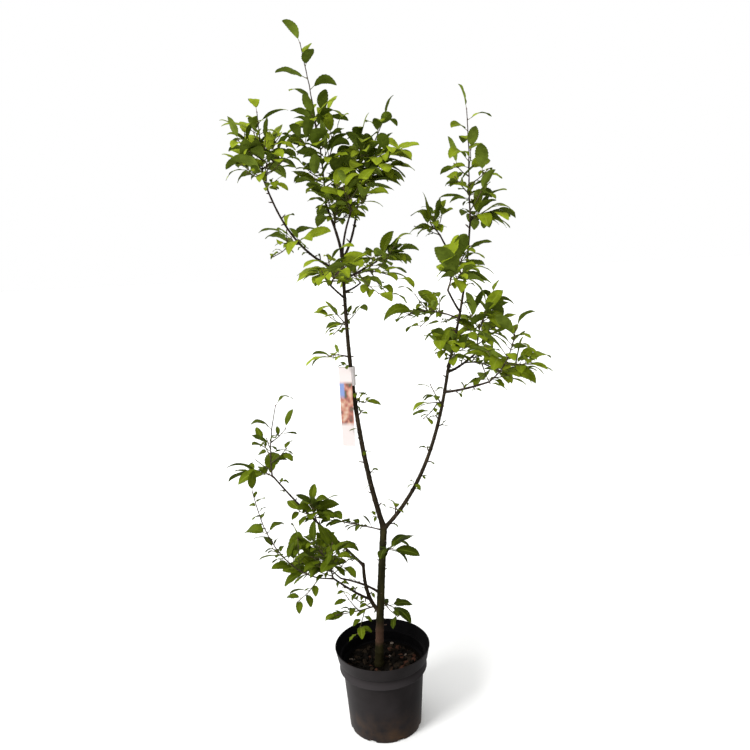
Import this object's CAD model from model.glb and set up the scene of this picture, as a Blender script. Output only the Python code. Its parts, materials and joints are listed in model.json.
"""The looks of a young crab apple tree in a round black nursery pot.

Every limb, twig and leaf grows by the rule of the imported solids, written again here with the
same sizes and the same random draws, and is then carried to finer shapes: bark with relief,
smooth twigs with buds, and arched leaves with stalk, midrib and toothed margin. Metres and
degrees, +Z up, +X to the viewer's right and +Y away; the origin is the centre of the pot's foot.
"""
import json
import math
import random
from collections import namedtuple

import bmesh
import bpy
import numpy as np
from mathutils import Matrix, Vector, noise
from mathutils.bvhtree import BVHTree

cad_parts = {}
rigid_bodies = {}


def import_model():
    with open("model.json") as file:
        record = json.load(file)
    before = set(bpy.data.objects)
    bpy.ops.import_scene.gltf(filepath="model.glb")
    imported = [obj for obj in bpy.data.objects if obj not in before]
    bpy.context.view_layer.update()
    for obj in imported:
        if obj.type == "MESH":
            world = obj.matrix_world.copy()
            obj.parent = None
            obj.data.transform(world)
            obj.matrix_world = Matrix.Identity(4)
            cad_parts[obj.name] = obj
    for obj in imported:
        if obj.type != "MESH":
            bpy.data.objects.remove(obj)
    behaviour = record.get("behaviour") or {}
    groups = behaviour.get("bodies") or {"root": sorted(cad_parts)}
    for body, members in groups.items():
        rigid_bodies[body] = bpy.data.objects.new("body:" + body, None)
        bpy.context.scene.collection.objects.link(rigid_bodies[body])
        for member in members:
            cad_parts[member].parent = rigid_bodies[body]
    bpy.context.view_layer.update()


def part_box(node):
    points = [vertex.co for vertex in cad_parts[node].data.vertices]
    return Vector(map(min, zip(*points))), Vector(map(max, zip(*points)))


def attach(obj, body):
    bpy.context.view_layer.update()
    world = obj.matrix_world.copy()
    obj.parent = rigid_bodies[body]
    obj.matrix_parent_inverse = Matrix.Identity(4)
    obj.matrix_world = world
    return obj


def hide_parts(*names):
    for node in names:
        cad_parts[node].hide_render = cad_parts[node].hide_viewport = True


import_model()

UP = Vector((0, 0, 1))
ACROSS = Vector((1, 0, 0))
# Beyond this slope a direction counts as upright
STEEP = 0.9
UPRIGHT_SIDE = 0.1

# Pot, as in the solids
POT_HEIGHT = 0.252
RIM_RADIUS = 0.140
COLLAR_HEIGHT = 0.036
COLLAR_FOOT_RADIUS = 0.1325
SHOULDER_HEIGHT = 0.032
SHOULDER_RADIUS = (0.1250, 0.1290)
WALL_TOP_RADIUS = 0.1195
BASE_RADIUS = 0.107
POT_WALL = 0.0026
POT_FLOOR = 0.003
NOTCH_COUNT = 8
NOTCH_RADIUS = 0.013
NOTCH_DROP = 0.005
NOTCH_DEPTH = 0.006
POT_SIDES = 160
POT_INSIDE = (0.0035, 0.0032, 0.0034)
BEAD = 0.0011

# Compost, its chips, and the height below which no leaf hangs
SOIL_LEVEL = 0.186
LEAF_FLOOR = POT_HEIGHT + 0.008
SOIL_RINGS = 34
SOIL_SIDES = 96
SOIL_ROUGHNESS = 0.0030
CHIP_COUNT = 420
CHIP_LENGTH = (0.008, 0.032)
CHIP_SHADES = ("chip_dark", "chip_brown", "chip_red", "chip_pale")
CHIP_SHARES = (0.66, 0.25, 0.06, 0.03)
# Chips at the front right lie in the light and are redder
LIT_SHARES = (0.42, 0.36, 0.18, 0.04)
LIT_SIDE = Vector((0.8, -0.6))
LIT_REACH = 0.050

# Hanging tag, as in the solids
TAG_WIDTH = 0.036
TAG_THICKNESS = 0.0008
TAG_BOTTOM = 0.860
TAG_TOP = 1.086
TAG_LOOP_HEIGHT = 0.052
TAG_LOOP_RADIUS = 0.0105
TAG_LOOP_TAIL = 0.034
TAG_TAIL_RADIUS = 0.0022

# Trunk and its root flare
TRUNK_FOOT = Vector((-0.012, 0.0, SOIL_LEVEL))
TRUNK_LENGTH = 0.428
TRUNK_HEADING = (45, -5)
TRUNK_RISE = (86, 85)
TRUNK_RADIUS = (0.0124, 0.0098)
FLARE = 0.0026
FLARE_HEIGHT = 0.016
TRUNK_STEPS = 8
FLARE_SHARES = (0.15, 0.35, 0.60)
BURIED_SHARE = 0.4

# A limb springs from its parent's axis, at a share of the parent's length. Its heading
# (degrees from +X towards +Y) and rise (degrees above level) ease from foot to tip.
BEND = 1.6
Limb = namedtuple("Limb", "name parent at length heading rise radius")
LIMBS = (
    Limb("left_leader", "trunk", 1.0, 0.780, (180, 155), (75, 90), (0.0076, 0.0042)),
    Limb("right_leader", "trunk", 0.99, 0.520, (-15, -10), (46, 80), (0.0060, 0.0042)),
    Limb("right_upper_leader", "right_leader", 1.0, 0.400, (40, -20), (70, 85),
         (0.0040, 0.0024)),
    Limb("side_stem", "trunk", 0.38, 0.175, (-155, -160), (50, 90), (0.0060, 0.0046)),
    Limb("long_left_bough", "side_stem", 0.97, 0.380, (140, 190), (30, 55),
         (0.0040, 0.0023)),
    Limb("low_front_bough", "side_stem", 0.33, 0.175, (-130, -145), (35, 45),
         (0.0038, 0.0025)),
    Limb("low_back_bough", "trunk", 0.52, 0.135, (145, 160), (20, 5), (0.0038, 0.0025)),
    Limb("upper_left_bough", "left_leader", 0.95, 0.325, (175, 222), (20, 68),
         (0.0036, 0.0022)),
    Limb("centre_bough", "left_leader", 1.0, 0.150, (185, 135), (85, 65), (0.0042, 0.0028)),
    Limb("inner_bough", "left_leader", 0.97, 0.155, (-70, -65), (88, 45),
         (0.0030, 0.0024)),
    Limb("upper_right_bough", "left_leader", 0.99, 0.210, (50, 60), (45, 75),
         (0.0036, 0.0025)),
    Limb("crossing_bough", "left_leader", 0.92, 0.125, (40, 40), (20, 20),
         (0.0032, 0.0023)),
    Limb("crown_front_bough", "left_leader", 0.86, 0.195, (-80, -110), (-5, 25),
         (0.0032, 0.0023)),
    Limb("crown_back_bough", "left_leader", 0.88, 0.205, (75, 80), (0, 5),
         (0.0032, 0.0023)),
    Limb("right_outer_bough", "right_leader", 0.98, 0.130, (65, 20), (-10, 35),
         (0.0038, 0.0027)),
    Limb("right_low_bough", "right_leader", 0.87, 0.150, (-55, -35), (10, 20),
         (0.0036, 0.0025)),
    Limb("right_front_bough", "right_upper_leader", 0.39, 0.200, (-100, -110), (5, 30),
         (0.0032, 0.0023)),
    Limb("right_back_bough", "right_upper_leader", 0.60, 0.205, (108, 104), (35, 35),
         (0.0032, 0.0023)),
)
LIMB_STEPS = 7
LONG_LIMB = 0.4
LONG_LIMB_STEPS = 12
LEADERS = ("left_leader", "right_leader", "right_upper_leader", "side_stem")

# A mass springs from a limb as a limb does. Its leaves stay within its spread of its stem.
Mass = namedtuple("Mass", "name limb at length heading rise spread shoots leaves seed")
MASSES = (
    Mass("crown_top", "centre_bough", 1.0, 0.405, (180, 205), (90, 80), 0.10, 10, 39, 205),
    Mass("crown_inner", "inner_bough", 1.0, 0.085, (-40, -175), (130, 35), 0.11, 7, 19,
         318),
    Mass("crown_right", "upper_right_bough", 1.0, 0.240, (100, 0), (45, 65), 0.09, 5, 40,
         127),
    Mass("crown_right_outer", "upper_right_bough", 0.92, 0.200, (-15, -50), (95, 0), 0.10,
         7, 34, 217),
    Mass("crown_left", "upper_left_bough", 1.0, 0.180, (105, 105), (70, 80), 0.10, 14, 30,
         80),
    Mass("crown_left_outer", "upper_left_bough", 0.93, 0.100, (-190, 85), (35, 70), 0.09, 5,
         13, 177),
    Mass("crown_middle", "centre_bough", 0.52, 0.085, (40, 155), (55, 110), 0.09, 8, 52,
         250),
    Mass("left_bough_outer", "upper_left_bough", 0.45, 0.035, (-90, -70), (5, 5), 0.09, 1,
         6, 303),
    Mass("left_bough_inner", "upper_left_bough", 0.43, 0.065, (205, 105), (-50, 100), 0.09,
         2, 6, 266),
    Mass("left_bough_under", "upper_left_bough", 0.13, 0.030, (-105, -145), (-85, -40),
         0.09, 0, 7, 360),
    Mass("crown_front", "crown_front_bough", 1.0, 0.075, (-55, -15), (70, 25), 0.09, 5, 10,
         103),
    Mass("crown_back", "crown_back_bough", 1.0, 0.060, (90, 155), (5, 65), 0.12, 0, 6, 323),
    Mass("leader_upper_twig", "left_leader", 0.76, 0.105, (80, 140), (-10, 40), 0.09, 3, 4,
         325),
    Mass("leader_lower_twig", "left_leader", 0.65, 0.060, (-180, -175), (25, -5), 0.10, 1,
         3, 296),
    Mass("leader_spur", "left_leader", 0.47, 0.055, (60, 70), (50, 10), 0.13, 2, 3, 105),
    Mass("crossing_spray", "crossing_bough", 0.35, 0.120, (-15, -15), (20, -25), 0.13, 5, 9,
         319),
    Mass("crossing_end", "crossing_bough", 1.0, 0.080, (110, -15), (15, 15), 0.10, 1, 24,
         156),
    Mass("right_top", "right_upper_leader", 1.0, 0.275, (-85, -125), (105, 85), 0.09, 6, 25,
         129),
    Mass("right_upper_twig", "right_upper_leader", 0.98, 0.075, (80, -25), (60, -30), 0.10,
         0, 20, 199),
    Mass("right_back", "right_back_bough", 1.0, 0.055, (205, 120), (45, 85), 0.09, 4, 18,
         203),
    Mass("right_front", "right_front_bough", 1.0, 0.070, (-5, -100), (60, 100), 0.13, 2, 15,
         253),
    Mass("right_outer_up", "right_outer_bough", 1.0, 0.170, (-30, 40), (95, 55), 0.10, 8,
         28, 314),
    Mass("right_outer_end", "right_outer_bough", 0.61, 0.140, (30, -5), (5, -40), 0.09, 2,
         14, 252),
    Mass("right_low_end", "right_low_bough", 1.0, 0.165, (-65, 5), (30, 80), 0.12, 3, 16,
         251),
    Mass("right_inner_twig", "right_upper_leader", 0.05, 0.060, (-55, -90), (75, 55), 0.09,
         9, 15, 152),
    Mass("right_inner_back", "right_upper_leader", 0.34, 0.245, (165, 105), (25, -20), 0.09,
         6, 13, 1),
    Mass("right_spur", "right_leader", 0.81, 0.060, (-130, -125), (15, 10), 0.09, 2, 4,
         116),
    Mass("fork_twig", "right_leader", 0.11, 0.025, (-90, -75), (70, 90), 0.11, 0, 3, 392),
    Mass("low_front", "low_front_bough", 1.0, 0.115, (-195, -205), (95, 35), 0.10, 12, 22,
         184),
    Mass("low_back", "low_back_bough", 1.0, 0.140, (170, 125), (40, 35), 0.13, 1, 19, 59),
    Mass("low_whip", "low_front_bough", 0.98, 0.360, (185, 135), (0, 70), 0.13, 3, 5, 25),
    Mass("far_left", "long_left_bough", 0.97, 0.090, (125, 160), (25, -15), 0.12, 0, 7,
         136),
    Mass("left_whip", "long_left_bough", 1.0, 0.200, (115, 35), (80, 75), 0.09, 5, 7, 242),
    Mass("long_bough_twig", "long_left_bough", 0.49, 0.055, (210, 100), (80, 65), 0.09, 2,
         17, 288),
    Mass("low_left_twig", "side_stem", 0.17, 0.115, (-150, -175), (0, -5), 0.11, 3, 7, 266),
    Mass("trunk_left_twig", "trunk", 0.98, 0.195, (185, 175), (20, 10), 0.11, 1, 3, 190),
    Mass("trunk_right_twig", "trunk", 0.79, 0.055, (-50, -35), (95, 10), 0.12, 2, 6, 136),
    Mass("trunk_low_twig", "trunk", 0.46, 0.065, (30, 40), (-40, -35), 0.09, 3, 6, 37),
)
SMALL_LEAVED = ("leader_spur", "fork_twig", "trunk_left_twig", "low_left_twig")
CROWN_LIMBS = ("centre_bough", "inner_bough", "upper_right_bough", "upper_left_bough",
               "crown_front_bough", "crown_back_bough", "left_leader", "crossing_bough")
RIGHT_LIMBS = ("right_leader", "right_upper_leader", "right_back_bough",
               "right_front_bough", "right_outer_bough", "right_low_bough")

# The growth rule of a mass, as in the solids
STEM_RADIUS = (0.0021, 0.0011)
SHOOT_RADIUS = (0.0015, 0.0010)
STEM_STEP = 0.045
GOLDEN_ANGLE = 137.5
SHOOT_ZONE = (0.03, 0.52)
SHOOT_SHARE = 0.62
SHOOT_ANGLE = 58
SHOOT_LIFT = 0.25
SHOOT_SIZES = (0.85, 1.15)
SHOOT_RETRY = 0.40
BARE_FOOT = 0.10
CROWDING = 0.85
WHIP_CROWDING = 1.20
WHIP_LENGTH = 0.20
LEAF_LENGTH = 0.102
SMALL_LEAF = 0.6
YOUNG_LEAF = 0.35
YOUNG_POWER = 4
LEAF_SPREAD = 0.14
LEAF_WIDTH = 0.31
LEAF_MIDDLE = 0.54
LEAF_KEEL = 0.0026
LEAF_ANGLE = 56
TIP_LEAF_ANGLE = 18
LEAF_ROLL = 40
LEAF_FALL = (0.25, 1.00)
LEAF_DIP = -0.06
LEAF_LEVEL = 0.60
LEAF_TRIES = 6
LEAF_RETRY = 0.37
LEAF_WOBBLE = 10
LEAF_SINK = 0.5
CLEARANCE = 0.0010
ROOT_SHARE = 0.3
SPACE_STEPS = 12
TEST_SIDES = 6
SPRIG_SIDES = 3

# Finer growth: small leaves beside the large ones, on short spurs of their own
COMPANIONS = 2
COMPANION_SHARE = 0.90
COMPANION_SIZE = (0.50, 0.92)
WHIP_BARE = 0.50
BARE_WHIPS = ("crown_top", "right_top", "crown_right", "left_whip")
COMPANION_TURN = (95, 150)
COMPANION_TRIES = 3
SPUR_RADIUS = (0.0011, 0.0008)
SPUR_LENGTH = 0.010

# Tiny leaves on the stretches of twig that would be bare
SPRIG_SPACING = 0.013
SPRIG_GAP = 0.010
SPRIG_SIZE = (0.22, 0.64)
SPRIG_ZONE = (0.15, 0.97)

# Bare spurs on the trunk and the leaders
SPURRED = ("trunk", "left_leader", "right_leader", "right_upper_leader", "side_stem",
           "upper_left_bough", "long_left_bough", "low_front_bough", "low_back_bough",
           "upper_right_bough", "right_low_bough", "right_outer_bough")
BARE_SPUR_SPACING = 0.034
BARE_SPUR_LENGTH = (0.005, 0.014)
BARE_SPUR_RADIUS = (0.0019, 0.0013)
SPUR_LEAF_SHARE = 0.68
SPUR_LEAF_SIZE = (0.14, 0.36)
SPUR_LEAF_TONE = 4

# Finer limbs and twigs
LIMB_SIDES = 18
LIMB_STEP = 0.0032
TWIG_SIDES = 7
TWIG_STEP = 0.0060
COLLAR_SWELL = 0.42
COLLAR_LENGTH = 0.012
NODE_SPACING = 0.034
NODE_SWELL = 0.10
NODE_WIDTH = 0.0035
BARK_RELIEF = 0.055
TWIG_WANDER = 0.0011
BUD_LENGTH = 0.0052
BUD_RADIUS = 0.0016

# Finer leaves: stations along the blade, corners across it, and the blade's own shape
BLADE_START = 0.18
BLADE_STATIONS = 19
TINY_STATIONS = 11
TINY_LEAF = 0.064
BLADE_ACROSS = (-1.0, -0.55, -0.06, 0.06, 0.55, 1.0)
BLADE_FOOT_POWER = 0.74
BLADE_TIP_POWER = 0.82
BLADE_FILL = 1.24
BLADE_FOLD = (0.16, 0.46)
BLADE_CURL = (0.10, 0.30)
BLADE_TWIST = 24
BLADE_WAVE = 0.0012
BLADE_THICKNESS = 0.00042
RIB_DEPTH = 0.0006
VEIN_COUNT = 6
VEIN_RELIEF = 0.00032
TOOTH = 0.045
DROOP = 0.45
STALK_RADIUS = (0.00120, 0.00090)
STALK_SIDES = 5
STALK_STEPS = 5

Shape = namedtuple("Shape", "centre reach tree")
Twig = namedtuple("Twig", "points radius length")
Leaf = namedtuple("Leaf", "root out fall side lift length width")


# Growth, as in the solids


def axis_points(foot, heading, rise, length, steps):
    """The axis of a limb whose heading and rise ease from its foot to its tip."""
    points = [Vector(foot)]
    for k in range(steps):
        left = (1 - (k + 0.5) / steps) ** BEND
        turn = math.radians(heading[1] + (heading[0] - heading[1]) * left)
        lift = math.radians(rise[1] + (rise[0] - rise[1]) * left)
        step = Vector((math.cos(lift) * math.cos(turn), math.cos(lift) * math.sin(turn),
                       math.sin(lift)))
        points.append(points[-1] + step * (length / steps))
    return points


def along(points, share):
    """The point at a share of an axis, and the axis's direction there."""
    place = min(max(share, 0), 1) * (len(points) - 1)
    k = min(int(place), len(points) - 2)
    step = points[k + 1] - points[k]
    return points[k] + step * (place - k), step.normalized()


def taper(radius, share):
    return radius[0] + (radius[1] - radius[0]) * share


def square_to(direction):
    """A unit vector square to a direction."""
    other = UP if abs(direction.z) < STEEP else ACROSS
    return direction.cross(other).normalized()


def rings_along(points, radii, sides):
    """Rings of corners round an axis."""
    rings = []
    across = square_to(points[1] - points[0])
    for k, point in enumerate(points):
        before = points[max(k - 1, 0)]
        after = points[min(k + 1, len(points) - 1)]
        direction = (after - before).normalized()
        across = (across - direction * across.dot(direction)).normalized()
        other = direction.cross(across)
        ring = []
        for side in range(sides):
            angle = 2 * math.pi * side / sides
            ring.append(point + (across * math.cos(angle) + other * math.sin(angle))
                        * radii[k])
        rings.append(ring)
    return rings


def loft(rings):
    """Corners and faces of a closed body through rings; an end ring may be one point."""
    points = [point for ring in rings for point in ring]
    sides = len(rings[1])
    faces = []
    start = 0
    for ring, following in zip(rings, rings[1:]):
        after = start + len(ring)
        for k in range(sides):
            turn = (k + 1) % sides
            if len(ring) == 1:
                faces.append((start, after + turn, after + k))
            elif len(following) == 1:
                faces.append((start + k, start + turn, after))
            else:
                faces.append((start + k, start + turn, after + turn, after + k))
        start = after
    if len(rings[0]) > 1:
        faces.append(tuple(range(sides))[::-1])
    if len(rings[-1]) > 1:
        faces.append(tuple(range(start, start + sides)))
    return points, faces


def shape_of(rings):
    points, faces = loft(rings)
    centre = sum(points, Vector()) / len(points)
    reach = max((point - centre).length for point in points)
    return Shape(centre, reach, BVHTree.FromPolygons(points, faces))


def is_clear(shape, others):
    for other in others:
        near = (shape.centre - other.centre).length < shape.reach + other.reach
        if near and shape.tree.overlap(other.tree):
            return False
    return True


def limb_radii(radius, steps):
    return [taper(radius, k / steps) for k in range(steps + 1)]


def flare_at(height):
    return FLARE * math.exp(-max(height - SOIL_LEVEL, 0) / FLARE_HEIGHT)


def trunk_radii(points):
    """The trunk's taper with its root flare."""
    last = len(points) - 1
    return [taper(TRUNK_RADIUS, k / last) + flare_at(p.z) for k, p in enumerate(points)]


def trunk_axis():
    """The trunk's axis from below the compost, close-set where the root flare is."""
    points = axis_points(TRUNK_FOOT, TRUNK_HEADING, TRUNK_RISE, TRUNK_LENGTH, TRUNK_STEPS)
    first = points[1] - points[0]
    flare = [points[0] + first * share for share in FLARE_SHARES]
    return [points[0] - first * BURIED_SHARE, points[0]] + flare + points[1:]


def limb_shapes(points, radii):
    """The limb as short pieces, for testing what would touch it."""
    rings = rings_along(points, [radius + CLEARANCE for radius in radii], TEST_SIDES)
    return [shape_of([ring, following]) for ring, following in zip(rings, rings[1:])]


def leaf_rings(leaf):
    """A leaf as its root, the corners of the blade's widest place, and its tip."""
    middle = leaf.root + leaf.out * (leaf.length * LEAF_MIDDLE)
    blade = [
        middle - leaf.lift * LEAF_KEEL,
        middle + leaf.side * (leaf.width / 2),
        middle - leaf.side * (leaf.width / 2),
    ]
    return [[leaf.root], blade, [middle + leaf.fall * (leaf.length * (1 - LEAF_MIDDLE))]]


def without_root(rings):
    """A leaf's rings cut off above the root, for tests against its own mass."""
    return [[rings[0][0].lerp(corner, ROOT_SHARE) for corner in rings[1]]] + rings[1:]


def radial(direction, angle):
    return Matrix.Rotation(math.radians(angle), 3, direction) @ square_to(direction)


def leaf_at(twig, share, angle, tilt, draw, size):
    """One leaf on a twig, at a share of its length and an angle round it."""
    point, direction = along(twig.points, share)
    tilt = math.radians(tilt)
    out = direction * math.cos(tilt) + radial(direction, angle) * math.sin(tilt)
    out.z = max(out.z, LEAF_DIP) * (LEAF_LEVEL + (1 - LEAF_LEVEL) * share ** YOUNG_POWER)
    out.normalize()
    fall = (out - UP * draw.uniform(*LEAF_FALL)).normalized()
    length = LEAF_LENGTH * size * (1 + draw.uniform(-LEAF_SPREAD, LEAF_SPREAD))
    length *= 1 - YOUNG_LEAF * share ** YOUNG_POWER
    roll = math.radians(draw.uniform(-LEAF_ROLL, LEAF_ROLL))
    root = point - out * (taper(twig.radius, share) * LEAF_SINK)
    side = out.cross(UP)
    if side.length < UPRIGHT_SIDE:
        side = ACROSS.copy()
    side = Matrix.Rotation(roll, 3, out) @ side.normalized()
    return Leaf(root, out, fall, side, side.cross(out), length, length * LEAF_WIDTH)


def make_twig(points, radius):
    length = (len(points) - 1) * (points[1] - points[0]).length
    return Twig(points, radius, length)


def twig_shape(twig):
    steps = len(twig.points) - 1
    return shape_of(rings_along(twig.points, limb_radii(twig.radius, steps), SPRIG_SIDES))


def twig_test(twig, skip):
    """A twig's shape with clearance round it, from a share of its length on."""
    steps = len(twig.points) - 1
    shares = [skip + (1 - skip) * k / steps for k in range(steps + 1)]
    points = [along(twig.points, share)[0] for share in shares]
    radii = [taper(twig.radius, share) + CLEARANCE for share in shares]
    return shape_of(rings_along(points, radii, SPRIG_SIDES))


def in_space(points, stem, spread):
    """Whether points keep within the spread of the stem and above the pot."""
    places = [along(stem.points, k / SPACE_STEPS)[0] for k in range(SPACE_STEPS + 1)]
    for point in points:
        nearest = min((place - point).length for place in places)
        if nearest > spread or point.z < LEAF_FLOOR:
            return False
    return True


def fitting_shape(leaf, mass, stem, obstacles, others, shapes):
    """The shape of a leaf that keeps to its mass's space and clear of the rest, or None."""
    rings = leaf_rings(leaf)
    whole = shape_of(rings)
    blade = shape_of(without_root(rings))
    if not in_space([rings[1][0], rings[2][0]], stem, mass.spread):
        return None
    if is_clear(whole, obstacles) and is_clear(blade, others) and is_clear(blade, shapes):
        return whole
    return None


def grow_shoots(mass, stem, draw, own, obstacles):
    """Side shoots set round the stem by the golden angle, each turning a little upwards."""
    shoots = []
    phase = draw.uniform(0, 360)
    for k in range(mass.shoots):
        share = SHOOT_ZONE[0] + (SHOOT_ZONE[1] - SHOOT_ZONE[0]) * (k + 0.5) / mass.shoots
        for attempt in range(LEAF_TRIES):
            point, direction = along(stem.points, share)
            angle = phase + (k + attempt * SHOOT_RETRY) * GOLDEN_ANGLE
            tilt = math.radians(SHOOT_ANGLE)
            out = direction * math.cos(tilt) + radial(direction, angle) * math.sin(tilt)
            length = mass.spread * SHOOT_SHARE * draw.uniform(*SHOOT_SIZES)
            middle = point + out * (length / 2)
            end = middle + (out + UP * SHOOT_LIFT).normalized() * (length / 2)
            twig = make_twig([point, middle, end], SHOOT_RADIUS)
            if (is_clear(twig_test(twig, 0), obstacles)
                    and is_clear(twig_test(twig, ROOT_SHARE), own)):
                shoots.append(twig)
                own.append(twig_shape(twig))
                break
    return shoots


def grow(mass, stem, obstacles):
    """The twigs of one mass, its leaves with their places, and the leaves' shapes."""
    draw = random.Random(mass.seed)
    size = SMALL_LEAF if mass.name in SMALL_LEAVED else 1.0
    own = [twig_test(stem, BARE_FOOT)]
    twigs = [stem] + grow_shoots(mass, stem, draw, own, obstacles)
    leaves, shapes = [], []
    total = sum(twig.length for twig in twigs)
    for twig in twigs:
        foot = BARE_FOOT if twig is stem else ROOT_SHARE
        count = max(1, round(mass.leaves * twig.length / total))
        crowding = WHIP_CROWDING if twig.length > WHIP_LENGTH else CROWDING
        phase = draw.uniform(0, 360)
        others = [shape for other, shape in zip(twigs, own) if other is not twig]
        for k in range(count):
            share = foot + (1 - foot) * ((k + 1) / count) ** crowding
            tilt = TIP_LEAF_ANGLE if k == count - 1 else LEAF_ANGLE
            for attempt in range(LEAF_TRIES):
                angle = phase + (k + attempt * LEAF_RETRY) * GOLDEN_ANGLE
                lean = tilt + draw.uniform(-LEAF_WOBBLE, LEAF_WOBBLE)
                leaf = leaf_at(twig, share, angle, lean, draw, size)
                shape = fitting_shape(leaf, mass, stem, obstacles, others, shapes)
                if shape:
                    leaves.append((leaf, twig, share, angle))
                    shapes.append(shape)
                    break
    return twigs, leaves, shapes


def grow_companions(mass, stem, twigs, leaves, shapes, obstacles):
    """Small leaves beside the large ones, each on a short spur of its own."""
    draw = random.Random(1000 + mass.seed)
    size = SMALL_LEAF if mass.name in SMALL_LEAVED else 1.0
    own = [twig_test(twig, ROOT_SHARE) for twig in twigs]
    made, spurs = [], []
    for leaf, twig, share, angle in leaves:
        whip = mass.name in BARE_WHIPS and twig is stem
        if share > 0.97 or (whip and share > WHIP_BARE):
            continue
        for k in range(COMPANIONS):
            if draw.random() > COMPANION_SHARE:
                continue
            for attempt in range(COMPANION_TRIES):
                turned = angle + (1 - 2 * k) * draw.uniform(*COMPANION_TURN)
                tilt = LEAF_ANGLE + draw.uniform(-16, 16)
                place = share + draw.uniform(-0.03, 0.03)
                small = leaf_at(twig, place, turned, tilt, draw,
                                size * draw.uniform(*COMPANION_SIZE))
                others = [test for other, test in zip(twigs, own) if other is not twig]
                shape = fitting_shape(small, mass, stem, obstacles, others, shapes)
                if shape:
                    made.append((small, twig, place, turned))
                    shapes.append(shape)
                    spurs.append([small.root, small.root + small.out * SPUR_LENGTH])
                    break
    return made, spurs


def grow_sprigs(mass, stem, twigs, leaves, shapes, obstacles):
    """Tiny leaves on the stretches of twig that have none."""
    draw = random.Random(2000 + mass.seed)
    own = [twig_test(twig, ROOT_SHARE) for twig in twigs]
    made = []
    for twig in twigs:
        taken = [share for leaf, other, share, angle in leaves if other is twig]
        others = [test for other, test in zip(twigs, own) if other is not twig]
        whip = mass.name in BARE_WHIPS and twig is stem
        count = round(twig.length / SPRIG_SPACING)
        for k in range(count):
            share = (k + draw.uniform(0.2, 0.8)) / count
            bare = all(abs(share - place) * twig.length > SPRIG_GAP for place in taken)
            if not bare or not SPRIG_ZONE[0] < share < (WHIP_BARE if whip else SPRIG_ZONE[1]):
                continue
            angle = k * GOLDEN_ANGLE + draw.uniform(-30, 30)
            small = leaf_at(twig, share, angle, LEAF_ANGLE + draw.uniform(-16, 16), draw,
                            draw.uniform(*SPRIG_SIZE))
            shape = fitting_shape(small, mass, stem, obstacles, others, shapes)
            if shape:
                made.append((small, twig, share, angle))
                shapes.append(shape)
    return made


# Meshes


class Build:
    """Corners, faces and the material number of each face of one joined mesh."""

    def __init__(self):
        self.points = []
        self.faces = []
        self.looks = []

    def add(self, points, faces, looks):
        """Adds a body; looks is one material number, or one for each face."""
        start = len(self.points)
        self.points.extend(tuple(point) for point in points)
        self.faces.extend(tuple(start + k for k in face) for face in faces)
        self.looks.extend([looks] * len(faces) if isinstance(looks, int) else looks)

    def piece(self, name, materials, slot, replaced=(), sharp=60):
        mesh = bpy.data.meshes.new(name)
        mesh.from_pydata(self.points, [], self.faces)
        mesh.polygons.foreach_set("material_index", self.looks)
        mesh.shade_smooth()
        mesh.set_sharp_from_angle(angle=math.radians(sharp))
        obj = bpy.data.objects.new(name, mesh)
        bpy.context.scene.collection.objects.link(obj)
        return finish_piece(obj, materials, replaced)


def finish_piece(obj, materials, replaced=()):
    """Gives a piece its materials, its body and the nodes it stands for."""
    for look in materials:
        obj.data.materials.append(look)
    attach(obj, "root")
    if replaced:
        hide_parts(*replaced)
    return obj


def smooth_path(points, step):
    """A smooth curve through points, with corners about one step apart."""
    path = []
    for k in range(len(points) - 1):
        before = points[max(k - 1, 0)]
        start, end = points[k], points[k + 1]
        after = points[min(k + 2, len(points) - 1)]
        count = max(1, round((end - start).length / step))
        for n in range(count):
            t = n / count
            a = (end - before) * 0.5
            b = (after - start) * 0.5
            path.append(start * (2 * t ** 3 - 3 * t ** 2 + 1) + a * (t ** 3 - 2 * t ** 2 + t)
                        + end * (3 * t ** 2 - 2 * t ** 3) + b * (t ** 3 - t ** 2))
    path.append(points[-1])
    return path


def lengths_of(path):
    """How far along a path each of its corners lies."""
    lengths = [0.0]
    for point, following in zip(path, path[1:]):
        lengths.append(lengths[-1] + (following - point).length)
    return lengths


def node_swelling(length, offset):
    """The swelling of the bud rings that an apple shoot leaves along its bark."""
    place = (length + offset) / NODE_SPACING
    distance = abs(place - round(place)) * NODE_SPACING
    return math.exp(-(distance / NODE_WIDTH) ** 2)


def relief(angle, length, seed):
    """The roughness of bark, between about -1 and 1: long ridges under fine grain."""
    round_x, round_y = math.cos(angle), math.sin(angle)
    ridges = noise.noise(Vector((round_x * 1.7, round_y * 1.7 + seed, length * 45)))
    grain = noise.noise(Vector((round_x * 5.5, round_y * 5.5 - seed, length * 260)))
    return ridges + 0.45 * grain


def bark_tube(points, radius_at, seed, sides, step, swell, tip):
    """Rings of a limb with its collar, bud rings and bark relief; tip rounds its end."""
    path = smooth_path(points, step)
    lengths = lengths_of(path)
    total = lengths[-1]
    radii = []
    for point, length in zip(path, lengths):
        radius = radius_at(point, length / total)
        radius *= 1 + swell * math.exp(-(length / COLLAR_LENGTH) ** 2)
        radius *= 1 + NODE_SWELL * node_swelling(length, seed * 0.007)
        radii.append(radius)
    rings = rings_along(path, radii, sides)
    for ring, point, length in zip(rings, path, lengths):
        for side, corner in enumerate(ring):
            bump = relief(2 * math.pi * side / sides, length, seed)
            ring[side] = corner + (corner - point) * (BARK_RELIEF * bump)
    if tip:
        end = path[-1] + (path[-1] - path[-2]).normalized() * radii[-1]
        rings.append([end])
    return rings


def twig_path(twig, seed):
    """A twig's smooth path, wandering a little from bud to bud."""
    path = smooth_path(twig.points, TWIG_STEP)
    lengths = lengths_of(path)
    moved = []
    for point, length in zip(path, lengths):
        ease = math.sin(math.pi * min(length / lengths[-1], 1))
        shift = Vector((noise.noise(Vector((length * 38, seed, 0.3))),
                        noise.noise(Vector((length * 38, seed, 7.7))), 0))
        moved.append(point + shift * (2 * TWIG_WANDER * ease))
    return moved, lengths


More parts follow.
